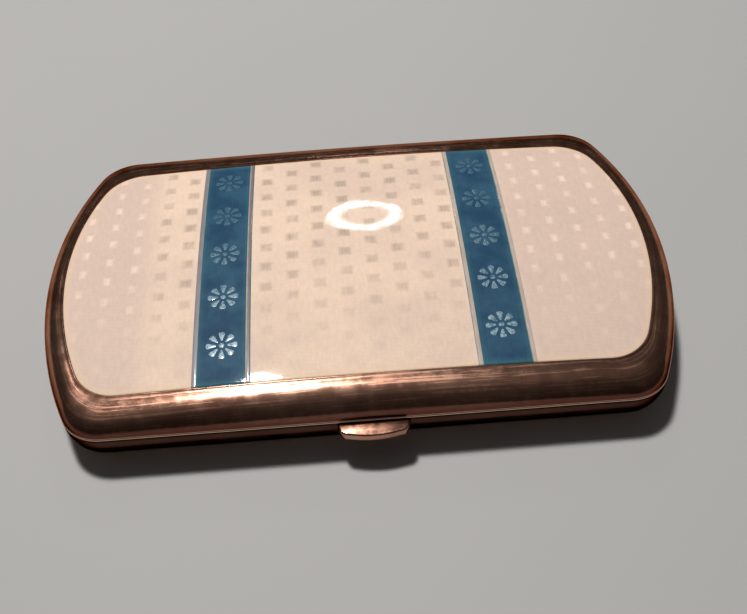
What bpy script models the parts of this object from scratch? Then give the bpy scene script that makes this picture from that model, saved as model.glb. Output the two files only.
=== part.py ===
"""A slim pill box: a gilt case with a crowned guilloche enamel lid, in metres, +Z up.

The case lies on its flat bottom at z = 0. +X runs along its length, -Y is the front, with the
thumb-piece, and +Y is the back, with the hinge.
"""

import math

import bmesh
import bpy
from mathutils import Matrix, Vector

MM = 0.001

# Plan of the case and of the enamelled field: half length, half width, radius of the bowed
# ends and radius of the corners.
CASE_PLAN = (38 * MM, 22.5 * MM, 45.8 * MM, 5.1 * MM)
FIELD_PLAN = (35.15 * MM, 18.2 * MM, 39.7 * MM, 5.3 * MM)
END_STEPS, CORNER_STEPS, SIDE_STEPS = 4, 5, 3
SWEEP_STEPS, INSIDE_STEPS, TRAY_STEPS = 6, 4, 3
ROUND_SIDES, GROOVE_SIDES, POST_SIDES = 16, 24, 12
CUT_MARGIN = 1 * MM

SEAM = 4.7 * MM
CROWN = 8.9 * MM
CROWN_RADIUS_ACROSS = 135 * MM
CROWN_RADIUS_ALONG = 625 * MM
SEAM_GAP = 0.05 * MM
FIT_GAP = 0.08 * MM

# Lid
LIP_HEIGHT = 0.3 * MM
LIP_STEP = 0.12 * MM
WALL = 0.7 * MM
HOLLOW_OUTSET = 0.4 * MM
ENAMEL_DEPTH = 0.35 * MM
ENAMEL_GAP = 0.03 * MM
PLATE_TOP = 0.38 * MM
PLATE_THICKNESS = 0.32 * MM
LEDGE_TOP = 0.75 * MM
LEDGE_THICKNESS = 0.35 * MM
LEDGE_WIDTH = 1.0 * MM
LINER_TOP = 1.15 * MM
LINER_THICKNESS = 0.25 * MM
DOME_STEPS = (1.0, 0.8, 0.6, 0.4, 0.2)

# Stripes of the enamel, as distances from the lid's middle
BAND_INNER, BAND_OUTER = 13.1 * MM, 18.5 * MM
LINE_WIDTH = 0.55 * MM
STRIPE_GAP = 0.04 * MM
ROSETTES_PER_BAND = 5
ROSETTE_PITCH = 6.87 * MM
ROSETTE_MIDDLE_Y = 0.7 * MM
ROSETTE_RADIUS = 1.86 * MM
ROSETTE_LOBES, ROSETTE_POINTS_PER_LOBE = 8, 4
ROSETTE_SCALLOP = 0.2
ROSETTE_THICKNESS = 0.05 * MM

# Base
FOOT_INSET = 3.2 * MM
SIDE_TOP = 3.9 * MM
FLOOR, FOOT_WALL = 0.7 * MM, 0.4 * MM
TRAY_GAP = 0.1 * MM
TRAY_BOTTOM = 0.8 * MM
TRAY_WALL = 0.4 * MM
TRAY_TOP = 4.12 * MM
TRAY_ROUND = 0.8 * MM
FRAME_BOTTOM, FRAME_TOP = 4.2 * MM, 4.6 * MM
RIB_INSET, RIB_THICKNESS, RIB_TOP = 0.85 * MM, 0.35 * MM, 5.0 * MM
RIB_ROUND = 0.1 * MM

# Hinge, a little behind the case and a little under the seam
HINGE_Y = CASE_PLAN[1] + 0.25 * MM
HINGE_Z = SEAM - 0.5 * MM
KNUCKLE_RADIUS = 0.95 * MM
GROOVE_RADIUS = 1.05 * MM
PIN_RADIUS = 0.4 * MM
BORE_RADIUS = 0.46 * MM
KNUCKLES = 7
KNUCKLE_LENGTH = 7.0 * MM
KNUCKLE_GAP = 0.1 * MM
BARREL_HALF = KNUCKLES * KNUCKLE_LENGTH / 2

# Latch
LATCH_TRAVEL = 0.5 * MM
TAB_X, TAB_WIDTH, TAB_REACH = 0.6 * MM, 7.8 * MM, 1.75 * MM
TAB_LOW, TAB_HIGH = 3.5 * MM, 4.55 * MM
TAB_INNER_Y = -21.55 * MM
TAB_CORNER = 1.1 * MM
TAB_BOW = 0.35 * MM
TAB_CORNER_STEPS, TAB_FRONT_STEPS = 5, 3
NOTCH_GAP, NOTCH_DEPTH = 0.1 * MM, 1.2 * MM
ROOM_GAP, ROOM_BEHIND = 0.35 * MM, 0.15 * MM
TONGUE_LOW, TONGUE_HIGH, TONGUE_HALF = 3.6 * MM, 4.1 * MM, 3.0 * MM
HOOK_HALF = 2.0 * MM
HOOK_FRONT, HOOK_BACK = -20.15 * MM, -19.75 * MM
HOOK_LOW, HOOK_HIGH = 1.1 * MM, 5.58 * MM
HOOK_GAP = 0.05 * MM
SLOT_GAP = 0.3 * MM
NOSE_FRONT, NOSE_BACK, NOSE_LOW = -20.85 * MM, -19.85 * MM, 5.22 * MM
CATCH_HALF = 2.8 * MM
CATCH_FRONT, CATCH_BACK = -21.62 * MM, -20.95 * MM
CATCH_LOW, CATCH_HIGH = 4.82 * MM, 5.15 * MM
SPRING_HALF, SPRING_LOW, SPRING_HIGH = 13.5 * MM, 2.2 * MM, 3.9 * MM
SPRING_THICKNESS = 0.2 * MM
SPRING_BOW = 0.3 * MM
SPRING_FRONT = HOOK_BACK + HOOK_GAP
SPRING_STEPS = 12
POST_X, POST_Y, POST_RADIUS = 12.0 * MM, -18.75 * MM, 0.35 * MM

MATERIALS = {
    "rose_gold": ((0.80, 0.50, 0.38, 1), 1.0, 0.18),
    "gilt": ((0.88, 0.66, 0.40, 1), 1.0, 0.25),
    "silver": ((0.86, 0.86, 0.84, 1), 1.0, 0.22),
    "cream_enamel": ((0.83, 0.74, 0.66, 1), 0.0, 0.08),
    "blue_enamel": ((0.03, 0.13, 0.23, 1), 0.0, 0.08),
    "pale_line": ((0.68, 0.72, 0.74, 1), 0.0, 0.15),
    "pale_foil": ((0.62, 0.74, 0.80, 1), 0.3, 0.3),
    "spring_steel": ((0.55, 0.55, 0.56, 1), 1.0, 0.3),
}


class Plan:
    """A rectangle with bowed ends and round corners."""

    def __init__(self, half_length, half_width, end_radius, corner_radius):
        self.sizes = (half_length, half_width, end_radius, corner_radius)

    def inset(self, depth):
        """The parallel plan this far inside; every radius shrinks by the same depth."""
        return Plan(*(size - depth for size in self.sizes))

    def points(self):
        """The plan's points, anticlockwise from the middle of the +X end."""
        length, width, end, corner = self.sizes
        end_x = length - end
        corner_y = width - corner
        corner_x = end_x + math.sqrt((end - corner) ** 2 - corner_y**2)
        meet = math.atan2(corner_y, corner_x - end_x)
        quarter = [
            (end_x + end * math.cos(a), end * math.sin(a))
            for a in steps(0, meet, END_STEPS)
        ]
        quarter += [
            (corner_x + corner * math.cos(a), corner_y + corner * math.sin(a))
            for a in steps(meet, math.pi / 2, CORNER_STEPS)
        ]
        quarter += [(x, width) for x in steps(corner_x, 0, SIDE_STEPS)]
        half = quarter + [(-x, y) for x, y in [(0, width)] + quarter[:0:-1]]
        return half + [(-x, -y) for x, y in half]


CASE = Plan(*CASE_PLAN)
FIELD = Plan(*FIELD_PLAN)
TRAY = FIELD.inset(TRAY_GAP)


def steps(start, end, count):
    """count evenly spaced values from start, without end."""
    return [start + (end - start) * n / count for n in range(count)]


def crown(x, y):
    """Height of the lid's crowned top."""
    return CROWN - y**2 / (2 * CROWN_RADIUS_ACROSS) - x**2 / (2 * CROWN_RADIUS_ALONG)


def level_ring(plan, z):
    return [Vector((x, y, z)) for x, y in plan.points()]


def crowned_ring(plan, depth, scale=1.0):
    """A ring that lies this deep under the crown."""
    scaled = [(x * scale, y * scale) for x, y in plan.points()]
    return [Vector((x, y, crown(x, y) - depth)) for x, y in scaled]


def arc_rings(low, high, count):
    """Rings on the quarter ellipse that leaves the low ring upright and meets the high ring level."""
    rings = []
    for n in range(count + 1):
        angle = math.pi / 2 * n / count
        across, up = 1 - math.cos(angle), math.sin(angle)
        rings.append(
            [
                Vector((*one.xy.lerp(other.xy, across), one.z + (other.z - one.z) * up))
                for one, other in zip(low, high)
            ]
        )
    return rings


def new_collection(name):
    collection = bpy.data.collections.new(name)
    bpy.context.scene.collection.children.link(collection)
    return collection


def new_material(name):
    colour, metallic, roughness = MATERIALS[name]
    material = bpy.data.materials.new(name)
    material.use_nodes = True
    shader = material.node_tree.nodes["Principled BSDF"]
    shader.inputs["Base Color"].default_value = colour
    shader.inputs["Metallic"].default_value = metallic
    shader.inputs["Roughness"].default_value = roughness
    material.diffuse_color = colour
    return material


def new_object(name, made, material, place=None):
    """An object from a bmesh, which is freed. Its origin is put at place."""
    bmesh.ops.recalc_face_normals(made, faces=made.faces)
    origin = Vector(place or (0, 0, 0))
    bmesh.ops.translate(made, verts=made.verts, vec=-origin)
    mesh = bpy.data.meshes.new(name)
    made.to_mesh(mesh)
    made.free()
    mesh.shade_smooth()
    mesh.set_sharp_from_angle(angle=math.radians(35))
    thing = bpy.data.objects.new(name, mesh)
    thing.location = origin
    if material:
        mesh.materials.append(material)
    return thing


def loft(rings, closed=False):
    """A bmesh through the rings in order. A ring of one point is a pole, and open ends are filled."""
    made = bmesh.new()
    loops = [[made.verts.new(point) for point in ring] for ring in rings]
    following = loops[1:] + (loops[:1] if closed else [])
    for one, other in zip(loops, following):
        for n in range(max(len(one), len(other))):
            if len(one) == 1:
                corners = [one[0], other[n], other[n - 1]]
            elif len(other) == 1:
                corners = [one[n - 1], one[n], other[0]]
            else:
                corners = [one[n - 1], one[n], other[n], other[n - 1]]
            made.faces.new(corners)
    for end in () if closed else (loops[0], loops[-1]):
        if len(end) > 2:
            made.faces.new(end)
    return made


def box(low, high):
    made = bmesh.new()
    size = [b - a for a, b in zip(low, high)]
    middle = [(a + b) / 2 for a, b in zip(low, high)]
    bmesh.ops.create_cube(made, size=1)
    bmesh.ops.scale(made, vec=size, verts=made.verts)
    bmesh.ops.translate(made, vec=middle, verts=made.verts)
    return made


def rod(radius, low_x, high_x, sides):
    """A solid rod on the hinge's axis."""
    made = bmesh.new()
    turn = Matrix.Rotation(math.pi / 2, 4, "Y")
    middle = Vector(((low_x + high_x) / 2, HINGE_Y, HINGE_Z))
    bmesh.ops.create_cone(
        made,
        cap_ends=True,
        segments=sides,
        radius1=radius,
        radius2=radius,
        depth=high_x - low_x,
        matrix=Matrix.Translation(middle) @ turn,
    )
    return made


def crowned_sheet(plan, top, thickness):
    """A sheet that follows the crown, from this far under it."""
    middle = crown(0, 0) - top
    rings = [crowned_ring(plan, top, scale) for scale in reversed(DOME_STEPS)]
    rings += [crowned_ring(plan, top + thickness, scale) for scale in DOME_STEPS]
    poles = [Vector((0, 0, middle))], [Vector((0, 0, middle - thickness))]
    return loft([poles[0], *rings, poles[1]])


def cut(thing, cutter, operation="DIFFERENCE"):
    modifier = thing.modifiers.new(f"{operation.lower()}_{cutter.name}", "BOOLEAN")
    modifier.operation = operation
    modifier.object = cutter


class Model:
    """Holds the collections and the materials while the parts are made."""

    def __init__(self):
        self.parts = new_collection("pill_box")
        self.helpers = new_collection("cutters")
        self.materials = {name: new_material(name) for name in MATERIALS}

    def add(self, name, made, material, place=None):
        thing = new_object(name, made, self.materials[material], place)
        self.parts.objects.link(thing)
        return thing

    def cutter(self, name, made):
        thing = new_object(name, made, None)
        thing.hide_render = True
        thing.display_type = "WIRE"
        self.helpers.objects.link(thing)
        return thing


def add_lid_frame(model, groove):
    """The polished rim: a lip at the seam, a swept side and a ledge for the enamelled plate."""
    lip_top = SEAM + SEAM_GAP + LIP_HEIGHT
    rim_low = level_ring(CASE.inset(LIP_STEP), lip_top + LIP_STEP)
    inner_low = level_ring(CASE.inset(WALL), SEAM + SEAM_GAP)
    underside = LEDGE_TOP + LEDGE_THICKNESS
    rings = [crowned_ring(FIELD.inset(LEDGE_WIDTH), LEDGE_TOP), crowned_ring(FIELD, LEDGE_TOP)]
    rings += reversed(arc_rings(rim_low, crowned_ring(FIELD, 0), SWEEP_STEPS))
    rings += [level_ring(CASE, lip_top), level_ring(CASE, SEAM + SEAM_GAP)]
    hollow = crowned_ring(FIELD.inset(-HOLLOW_OUTSET), underside)
    rings += arc_rings(inner_low, hollow, INSIDE_STEPS)
    rings += [crowned_ring(FIELD.inset(LEDGE_WIDTH), underside)]
    frame = model.add("lid_frame", loft(rings, closed=True), "rose_gold", (0, HINGE_Y, HINGE_Z))
    cut(frame, groove)


def add_lid_sheets(model):
    inside = FIELD.inset(FIT_GAP)
    plate = crowned_sheet(inside, PLATE_TOP, PLATE_THICKNESS)
    model.add("guilloche_plate", plate, "silver", (0, HINGE_Y, HINGE_Z))
    liner = crowned_sheet(inside, LINER_TOP, LINER_THICKNESS)
    model.add("lid_liner", liner, "gilt", (0, HINGE_Y, HINGE_Z))


def add_enamel(model):
    """The glass field, cut lengthwise into its cream, blue and pale stripes."""
    line_in, line_out = BAND_INNER - LINE_WIDTH, BAND_OUTER + LINE_WIDTH
    past_end = FIELD_PLAN[0] + CUT_MARGIN
    stripes = [
        ("enamel_centre", -line_in, line_in, "cream_enamel"),
        ("enamel_left_end", -past_end, -line_out, "cream_enamel"),
        ("enamel_right_end", line_out, past_end, "cream_enamel"),
        ("enamel_left_band", -BAND_OUTER, -BAND_INNER, "blue_enamel"),
        ("enamel_right_band", BAND_INNER, BAND_OUTER, "blue_enamel"),
        ("left_band_outer_line", -line_out, -BAND_OUTER, "pale_line"),
        ("left_band_inner_line", -BAND_INNER, -line_in, "pale_line"),
        ("right_band_inner_line", line_in, BAND_INNER, "pale_line"),
        ("right_band_outer_line", BAND_OUTER, line_out, "pale_line"),
    ]
    reach = FIELD_PLAN[1] + CUT_MARGIN
    for name, low_x, high_x, material in stripes:
        low = (low_x + STRIPE_GAP / 2, -reach, SEAM)
        high = (high_x - STRIPE_GAP / 2, reach, CROWN + CUT_MARGIN)
        slab = model.cutter(f"cutter_{name}", box(low, high))
        field = crowned_sheet(FIELD.inset(ENAMEL_GAP), 0, ENAMEL_DEPTH)
        cut(model.add(name, field, material, (0, HINGE_Y, HINGE_Z)), slab, "INTERSECT")


def rosette(x, y):
    """A thin eight-lobed foil that lies on the crown."""
    outline = []
    count = ROSETTE_LOBES * ROSETTE_POINTS_PER_LOBE
    for n in range(count):
        angle = math.tau * n / count
        scallop = ROSETTE_SCALLOP * (1 - math.cos(ROSETTE_LOBES * angle))
        radius = ROSETTE_RADIUS * (1 - scallop)
        outline.append((x + radius * math.cos(angle), y + radius * math.sin(angle)))
    low = [Vector((px, py, crown(px, py) + ROSETTE_THICKNESS)) for px, py in outline]
    high = [point + Vector((0, 0, ROSETTE_THICKNESS)) for point in low]
    poles = [[Vector((x, y, crown(x, y) + ROSETTE_THICKNESS * n))] for n in (1, 2)]
    return loft([poles[0], low, high, poles[1]])


def add_rosettes(model):
    middle_x = (BAND_INNER + BAND_OUTER) / 2
    for side, x in (("left", -middle_x), ("right", middle_x)):
        for n in range(ROSETTES_PER_BAND):
            y = ROSETTE_MIDDLE_Y + ((ROSETTES_PER_BAND - 1) / 2 - n) * ROSETTE_PITCH
            model.add(f"rosette_{side}_{n + 1}", rosette(x, y), "pale_foil", (0, HINGE_Y, HINGE_Z))


def add_base_shell(model, groove, notch):
    outer_low, outer_high = level_ring(CASE.inset(FOOT_INSET), 0), level_ring(CASE, SIDE_TOP)
    inner_low = level_ring(CASE.inset(FOOT_INSET + FOOT_WALL), FLOOR)
    inner_high = level_ring(CASE.inset(WALL), SIDE_TOP)
    top = SEAM - SEAM_GAP
    rings = list(reversed(arc_rings(outer_high, outer_low, SWEEP_STEPS)))
    rings += [level_ring(CASE, top), level_ring(CASE.inset(WALL), top)]
    rings += arc_rings(inner_high, inner_low, INSIDE_STEPS)
    shell = model.add("base_shell", loft(rings), "rose_gold")
    cut(shell, groove)
    cut(shell, notch)


def add_tray(model):
    """The gilt tray that holds the pills, hung inside the base."""
    inside = TRAY.inset(TRAY_WALL)
    floor = TRAY_BOTTOM + TRAY_WALL
    outer_high = level_ring(TRAY, TRAY_BOTTOM + TRAY_ROUND)
    outer_low = level_ring(TRAY.inset(TRAY_ROUND), TRAY_BOTTOM)
    inner_high = level_ring(inside, TRAY_BOTTOM + TRAY_ROUND)
    rings = list(reversed(arc_rings(outer_high, outer_low, TRAY_STEPS)))
    rings += [level_ring(TRAY, TRAY_TOP), level_ring(inside, TRAY_TOP)]
    rings += arc_rings(inner_high, level_ring(inside.inset(TRAY_WALL), floor), TRAY_STEPS)
    model.add("pill_tray", loft(rings), "gilt")


def add_inner_frame(model, latch_room, hook_slot):
    """The flange that covers the space round the tray, with the rib that the lid closes over."""
    edge = CASE.inset(RIB_INSET)
    back = CASE.inset(RIB_INSET + RIB_THICKNESS)
    mouth = TRAY.inset(TRAY_WALL)
    rings = [
        level_ring(edge, FRAME_BOTTOM),
        level_ring(edge, RIB_TOP - RIB_ROUND),
        level_ring(edge.inset(RIB_ROUND), RIB_TOP),
        level_ring(back.inset(-RIB_ROUND), RIB_TOP),
        level_ring(back, RIB_TOP - RIB_ROUND),
        level_ring(back, FRAME_TOP),
        level_ring(mouth, FRAME_TOP),
        level_ring(mouth, FRAME_BOTTOM),
    ]
    frame = model.add("inner_frame", loft(rings, closed=True), "gilt")
    cut(frame, latch_room)
    cut(frame, hook_slot)


def add_hinge(model):
    """Seven knuckles, four on the base and three on the lid, on one pin."""
    for n in range(KNUCKLES):
        low_x = -BARREL_HALF + n * KNUCKLE_LENGTH + KNUCKLE_GAP / 2
        high_x = low_x + KNUCKLE_LENGTH - KNUCKLE_GAP
        rings = []
        for radius, x in (
            (KNUCKLE_RADIUS, low_x),
            (KNUCKLE_RADIUS, high_x),
            (BORE_RADIUS, high_x),
            (BORE_RADIUS, low_x),
        ):
            rings.append(
                [
                    Vector((x, HINGE_Y + radius * math.cos(a), HINGE_Z + radius * math.sin(a)))
                    for a in steps(0, math.tau, ROUND_SIDES)
                ]
            )
        owner = "base" if n % 2 == 0 else "lid"
        name = f"{owner}_knuckle_{n // 2 + 1}"
        model.add(name, loft(rings, closed=True), "rose_gold", (0, HINGE_Y, HINGE_Z))
    pin = rod(PIN_RADIUS, -BARREL_HALF, BARREL_HALF, ROUND_SIDES)
    model.add("hinge_pin", pin, "spring_steel", (0, HINGE_Y, HINGE_Z))


def tab_plan():
    """The thumb-piece from above: a bowed front edge between two round corners."""
    half, front = TAB_WIDTH / 2, CASE_PLAN[1] + TAB_REACH
    right = [(half, TAB_INNER_Y)]
    for angle in steps(0, math.pi / 2, TAB_CORNER_STEPS):
        right.append(
            (
                half - TAB_CORNER * (1 - math.cos(angle)),
                -(front - TAB_BOW - TAB_CORNER * (1 - math.sin(angle))),
            )
        )
    flat = half - TAB_CORNER
    for x in steps(flat, 0, TAB_FRONT_STEPS):
        right.append((x, -(front - TAB_BOW * (x / flat) ** 2)))
    outline = right + [(0, -front)] + [(-x, y) for x, y in reversed(right)]
    return [(TAB_X + x, y) for x, y in outline]


def add_latch(model):
    """The thumb-piece slides in through the base's front and draws the hook off the lid's catch."""
    plan = tab_plan()
    rings = [[Vector((x, y, z)) for x, y in plan] for z in (TAB_LOW, TAB_HIGH)]
    tab = model.add("thumb_piece", loft(rings), "rose_gold")
    tongue = box(
        (-TONGUE_HALF, TAB_INNER_Y - TAB_CORNER, TONGUE_LOW),
        (TONGUE_HALF, HOOK_FRONT - HOOK_GAP, TONGUE_HIGH),
    )
    cut(tab, model.cutter("join_tongue", tongue), "UNION")
    hook = model.add(
        "latch_hook",
        box((-HOOK_HALF, HOOK_FRONT, HOOK_LOW), (HOOK_HALF, HOOK_BACK, HOOK_HIGH)),
        "gilt",
    )
    nose = box((-HOOK_HALF, NOSE_FRONT, NOSE_LOW), (HOOK_HALF, NOSE_BACK, HOOK_HIGH))
    cut(hook, model.cutter("join_nose", nose), "UNION")
    leaf = []
    for n in range(SPRING_STEPS + 1):
        along = 2 * n / SPRING_STEPS - 1
        y = SPRING_FRONT + SPRING_BOW * along**2
        corners = ((y, SPRING_LOW), (y + SPRING_THICKNESS, SPRING_LOW))
        corners += ((y + SPRING_THICKNESS, SPRING_HIGH), (y, SPRING_HIGH))
        leaf.append([Vector((along * SPRING_HALF, *corner)) for corner in corners])
    model.add("latch_spring", loft(leaf), "spring_steel")
    for side, x in (("left", -POST_X), ("right", POST_X)):
        post = bmesh.new()
        low, high = FLOOR + FIT_GAP, FRAME_BOTTOM - FIT_GAP
        place = Matrix.Translation((x, POST_Y, (low + high) / 2))
        bmesh.ops.create_cone(
            post,
            cap_ends=True,
            segments=POST_SIDES,
            radius1=POST_RADIUS,
            radius2=POST_RADIUS,
            depth=high - low,
            matrix=place,
        )
        model.add(f"spring_post_{side}", post, "gilt")
    catch = box((-CATCH_HALF, CATCH_FRONT, CATCH_LOW), (CATCH_HALF, CATCH_BACK, CATCH_HIGH))
    model.add("lid_catch", catch, "gilt", (0, HINGE_Y, HINGE_Z))


def clear_scene():
    for thing in list(bpy.data.objects):
        bpy.data.objects.remove(thing, do_unlink=True)


def main():
    clear_scene()
    model = Model()
    barrel = BARREL_HALF + KNUCKLE_GAP
    groove = model.cutter("cutter_hinge_groove", rod(GROOVE_RADIUS, -barrel, barrel, GROOVE_SIDES))
    tab_left, tab_right = TAB_X - TAB_WIDTH / 2, TAB_X + TAB_WIDTH / 2
    front, top = -CASE_PLAN[1], RIB_TOP + CUT_MARGIN
    notch = model.cutter(
        "cutter_tab_notch",
        box(
            (tab_left - NOTCH_GAP, front - CUT_MARGIN, TAB_LOW - NOTCH_GAP),
            (tab_right + NOTCH_GAP, front + NOTCH_DEPTH, SEAM + CUT_MARGIN),
        ),
    )
    latch_room = model.cutter(
        "cutter_latch_room",
        box(
            (tab_left - ROOM_GAP, front, FRAME_BOTTOM - CUT_MARGIN),
            (tab_right + ROOM_GAP, TAB_INNER_Y + LATCH_TRAVEL + ROOM_BEHIND, top),
        ),
    )
    hook_slot = model.cutter(
        "cutter_hook_slot",
        box(
            (-HOOK_HALF - SLOT_GAP, NOSE_FRONT - SLOT_GAP, FRAME_BOTTOM - CUT_MARGIN),
            (HOOK_HALF + SLOT_GAP, HOOK_BACK + LATCH_TRAVEL + ROOM_BEHIND, top),
        ),
    )
    add_base_shell(model, groove, notch)
    add_tray(model)
    add_inner_frame(model, latch_room, hook_slot)
    add_lid_frame(model, groove)
    add_lid_sheets(model)
    add_enamel(model)
    add_rosettes(model)
    add_hinge(model)
    add_latch(model)


main()
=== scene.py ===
"""Looks of the slim pill box: polished rose gold round a crowned lid of guilloche enamel.

Metres, +Z up. The case lies along X, its thumb-piece faces -Y and its hinge +Y. Sizes that the
frame holds are read from the CAD nodes' boxes; finishes are worked out in millimetres.
"""

import math

import bmesh
import bpy
from mathutils import Matrix, Vector


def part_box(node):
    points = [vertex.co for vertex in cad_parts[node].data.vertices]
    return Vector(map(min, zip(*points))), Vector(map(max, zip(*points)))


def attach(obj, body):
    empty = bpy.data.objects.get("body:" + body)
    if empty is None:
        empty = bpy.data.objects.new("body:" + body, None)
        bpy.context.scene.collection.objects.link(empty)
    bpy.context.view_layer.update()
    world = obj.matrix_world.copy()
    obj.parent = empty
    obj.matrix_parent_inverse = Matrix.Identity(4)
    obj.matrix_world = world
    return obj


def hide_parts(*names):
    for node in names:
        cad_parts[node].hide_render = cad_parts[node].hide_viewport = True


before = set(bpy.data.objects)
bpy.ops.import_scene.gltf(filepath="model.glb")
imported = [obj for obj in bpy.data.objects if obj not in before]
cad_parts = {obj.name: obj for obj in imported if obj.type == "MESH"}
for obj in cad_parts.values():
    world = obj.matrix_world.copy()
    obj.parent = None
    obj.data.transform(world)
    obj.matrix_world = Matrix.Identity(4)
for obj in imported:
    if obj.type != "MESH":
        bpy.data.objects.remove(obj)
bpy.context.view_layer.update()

MM = 0.001

# Camera: degrees down from level, degrees round and degrees of tilt, and where it stands
CAMERA_PITCH, CAMERA_YAW, CAMERA_ROLL = 49.0, -1.44, -3.2
CAMERA_PLACE = (-0.22 * MM, -80.73 * MM, 90.58 * MM)
CAMERA_LENS, CAMERA_SENSOR = 45.69, 36.0
CAMERA_NEAR = 5 * MM
FLOOR_RADIUS, FLOOR_SIDES = 3.0, 96

# Lights: each stands at an azimuth and elevation in degrees from the point it is aimed at
LIGHT_DISTANCE = 0.6
LIGHT_COLOUR = (1.0, 0.98, 0.95)
KEY_TOWARDS, KEY_AIM = (-21, 67.5), (-11 * MM, -18 * MM, 7 * MM)
KEY_SIZE, KEY_POWER = 0.042, 1.15
FILL_SIZE, FILL_POWER = 0.10, 2.65
LAMP_TOWARDS, LAMP_AIM = (1.3, 38.6), (1 * MM, 5 * MM, 9 * MM)
LAMP_SIZE, LAMP_POWER = 0.076, 0.20
# The lamp's ring: distances from its middle where the light is weakest and full, and the weakest
RING_INSIDE, RING_OUTSIDE = (0.23, 0.38, 0.05), (0.50, 0.39, 0.0)

# Dome of the world: its brightest direction, and its colours from the darkest side to there
DOME_TOWARDS = (-30, 72)
DOME_DARKEST, DOME_BRIGHTEST = (0.045, 0.045, 0.047, 1), (0.24, 0.235, 0.23, 1)
DOME_LEVELS = ((0.78, 0.045), (0.90, 0.06), (0.96, 0.13))
# Light added low down, by the z of the direction: full up to the first, none at the second
HORIZON = (0.0, 0.16, 0.42)

# Outlines. The ends are bowed and the corners round.
CASE_END, CASE_CORNER = 45.8 * MM, 5.1 * MM
FIELD_END, FIELD_CORNER = 39.7 * MM, 5.3 * MM
PLATE_GAP = 0.08 * MM
END_STEPS, CORNER_STEPS, SIDE_STEPS = 14, 18, 22
ARC_STEPS = 4
SMOOTH_ANGLE, BEVEL_ANGLE = math.radians(32), math.radians(35)
CUT_MARGIN = 1 * MM

# Crown of the lid
CROWN_RADIUS_ACROSS, CROWN_RADIUS_ALONG = 135 * MM, 625 * MM

# Lid
WALL = 0.7 * MM
BEAD_RADIUS = 0.13 * MM
BEAD_STEPS, BEAD_OPEN = 8, math.radians(75)
LIP_STEP, LIP_TOP = 0.12 * MM, 0.34 * MM
SWEEP_STEPS = 16
BEZEL_WIDTH, BEZEL_RISE, BEZEL_STEPS = 0.2 * MM, 0.03 * MM, 4
LEDGE_TOP, LEDGE_UNDERSIDE, LEDGE_WIDTH = 0.75 * MM, 1.1 * MM, 1.0 * MM
HOLLOW_OUTSET = 0.4 * MM
PLATE_TOP, PLATE_THICKNESS = 0.38 * MM, 0.32 * MM
LINER_TOP, LINER_THICKNESS = 1.15 * MM, 0.25 * MM
SHEET_STEPS = 16

# Enamel
GLASS_GAP = 0.03 * MM
GLASS_DEPTH = 0.34 * MM
GLASS_ROUND = 0.12 * MM
LINE_RISE = 0.02 * MM
ROWS, COLUMNS, LINE_COLUMNS = 64, 36, 8

# Rosettes. A petal's outline is pairs of distance from the middle and half width, in millimetres.
ROSETTES, PETALS = 5, 8
PETAL_OUTLINE = ((0.64, 0.09), (1.10, 0.23), (1.52, 0.37), (1.72, 0.31), (1.80, 0.0))
DOT_RADIUS, DOT_SIDES = 0.30 * MM, 20
FOIL_SINK, FOIL_RISE = 0.02 * MM, 0.022 * MM
FOIL_DOME = ((1.0, 0.4), (0.8, 0.85))

# Base
FOOT_INSET, FOOT_WALL = 3.2 * MM, 0.4 * MM
FOOT_SHARES = (0.3, 0.6, 0.85)
SIDE_TOP = 3.9 * MM
FLOOR_TOP = 0.7 * MM
TRAY_GAP, TRAY_WALL, TRAY_ROUND = 0.1 * MM, 0.4 * MM, 0.8 * MM
RIB_INSET, RIB_THICKNESS = 0.85 * MM, 0.35 * MM
FLANGE_TOP = 4.6 * MM
SOFT_EDGE = 0.08 * MM

# Hinge
GROOVE_RADIUS, BORE_RADIUS = 1.05 * MM, 0.46 * MM
GROOVE_END_GAP = 0.1 * MM
KNUCKLE_CHAMFER = 0.12 * MM
ROUND_SIDES = 48

# Latch
TAB_INNER_Y, TAB_CORNER, TAB_BOW = -21.55 * MM, 1.1 * MM, 0.35 * MM
TAB_EDGE, TAB_STEPS = 0.22 * MM, 12
TONGUE_HALF, TONGUE_LOW, TONGUE_HIGH = 3.0 * MM, 3.6 * MM, 4.1 * MM
NOTCH_GAP, NOTCH_DEPTH = 0.1 * MM, 1.2 * MM
ROOM_GAP, ROOM_BACK = 0.35 * MM, 0.65 * MM
SLOT_GAP = 0.3 * MM
NOSE_LOW = 5.22 * MM
HOOK_THICKNESS = 0.4 * MM
SPRING_BOW, SPRING_THICKNESS, SPRING_STEPS = 0.3 * MM, 0.2 * MM, 40

# Engraving under the enamel, in millimetres: the lattice of bricks, and the fine lines' spacings
LATTICE_X, LATTICE_Y, LATTICE_PITCH = -1.25, -0.43, 3.18
BRICK_LINES, GROUND_LINES, BLUE_LINES = 0.42, 0.53, 0.45

# Colours, linear. The first is bare rubbed metal: worn on the base's foot, and a painted highlight on
# the lid's bead. The two after it are painted shade and dark reflection, on the rim's lower part and
# on the base.
RUBBED_AND_HIGHLIGHT = (0.86, 0.58, 0.45, 1)
RIM_PAINTED_SHADE, BASE_PAINTED_SHADE = (0.115, 0.034, 0.023, 1), (0.045, 0.022, 0.017, 1)
CREAM_WARM = (0.84, 0.64, 0.50, 1)
CREAM_COOL = (0.66, 0.50, 0.43, 1)
CREAM_EDGE = (0.84, 0.60, 0.36, 1)


def steps(start, end, count):
    """count evenly spaced values from start, without end."""
    return [start + (end - start) * n / count for n in range(count)]


def eased(count):
    """count + 1 values from 0 to 1 that lie closer together near both ends."""
    return [(1 - math.cos(math.pi * n / count)) / 2 for n in range(count + 1)]


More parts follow.
